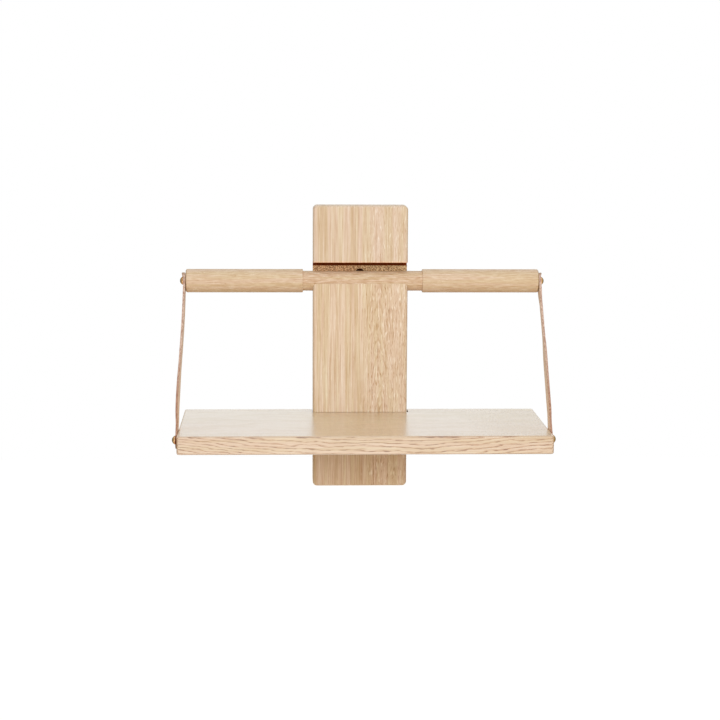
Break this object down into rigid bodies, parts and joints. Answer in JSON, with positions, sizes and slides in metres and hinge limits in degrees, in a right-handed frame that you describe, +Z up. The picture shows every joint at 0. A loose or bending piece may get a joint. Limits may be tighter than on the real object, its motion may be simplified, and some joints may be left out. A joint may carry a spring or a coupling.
{
  "type": "hanging wall shelf",
  "caption": "Small oak wall shelf: a rod lies in a groove of an upright back board, and flat leather straps hang a notched shelf board from its ends.",
  "frame": {"origin": "centre of the back board's back face, which lies on the wall", "axes": "+Z up, +X to the right seen from the front, +Y into the wall, so the shelf stands out towards -Y"},
  "size_m": [0.4151, 0.181, 0.32],
  "materials": {
    "oak_board": "pale oiled oak, long grain upright",
    "oak_rod": "pale oiled oak, turned, grain along the rod",
    "oak_shelf": "pale oiled oak, satin, grain along the shelf",
    "leather": "tan leather, suede inner face, darker cut edges",
    "brass": "polished brass",
    "insert_brass": "turned brass"
  },
  "bodies": {
    "board": {"back_board": "oak_board"},
    "rod": {"hanger_rod": "oak_rod", "rod_screw_left": "brass", "rod_screw_right": "brass", "rod_insert_left": "insert_brass", "rod_insert_right": "insert_brass"},
    "left_strap": {"strap_left": "leather"},
    "right_strap": {"strap_right": "leather"},
    "shelf": {"shelf_board": "oak_shelf", "shelf_screw_left": "brass", "shelf_screw_right": "brass", "shelf_insert_left": "insert_brass", "shelf_insert_right": "insert_brass"}
  },
  "joints": [
    {"name": "rod_roll", "type": "hinge", "parent": "board", "child": "rod", "pos_m": [0.0028, -0.0138, 0.0745], "axis": [-1, 0, 0], "continuous": true},
    {"name": "strap_left_swing", "type": "hinge", "parent": "board", "child": "left_strap", "pos_m": [-0.1967, -0.0138, 0.0745], "axis": [-1, 0, 0], "range_deg": [0, 30]},
    {"name": "strap_right_swing", "type": "hinge", "parent": "board", "child": "right_strap", "pos_m": [0.2023, -0.0138, 0.0745], "axis": [-1, 0, 0], "range_deg": [0, 30]},
    {"name": "shelf_swing", "type": "hinge", "parent": "left_strap", "child": "shelf", "pos_m": [-0.1996, -0.145, -0.0845], "axis": [-1, 0, 0], "range_deg": [-30, 0]}
  ],
  "couplings": [
    {"joint": "strap_right_swing", "follows": "strap_left_swing", "ratio": 1},
    {"joint": "shelf_swing", "follows": "strap_left_swing", "ratio": -1}
  ]
}
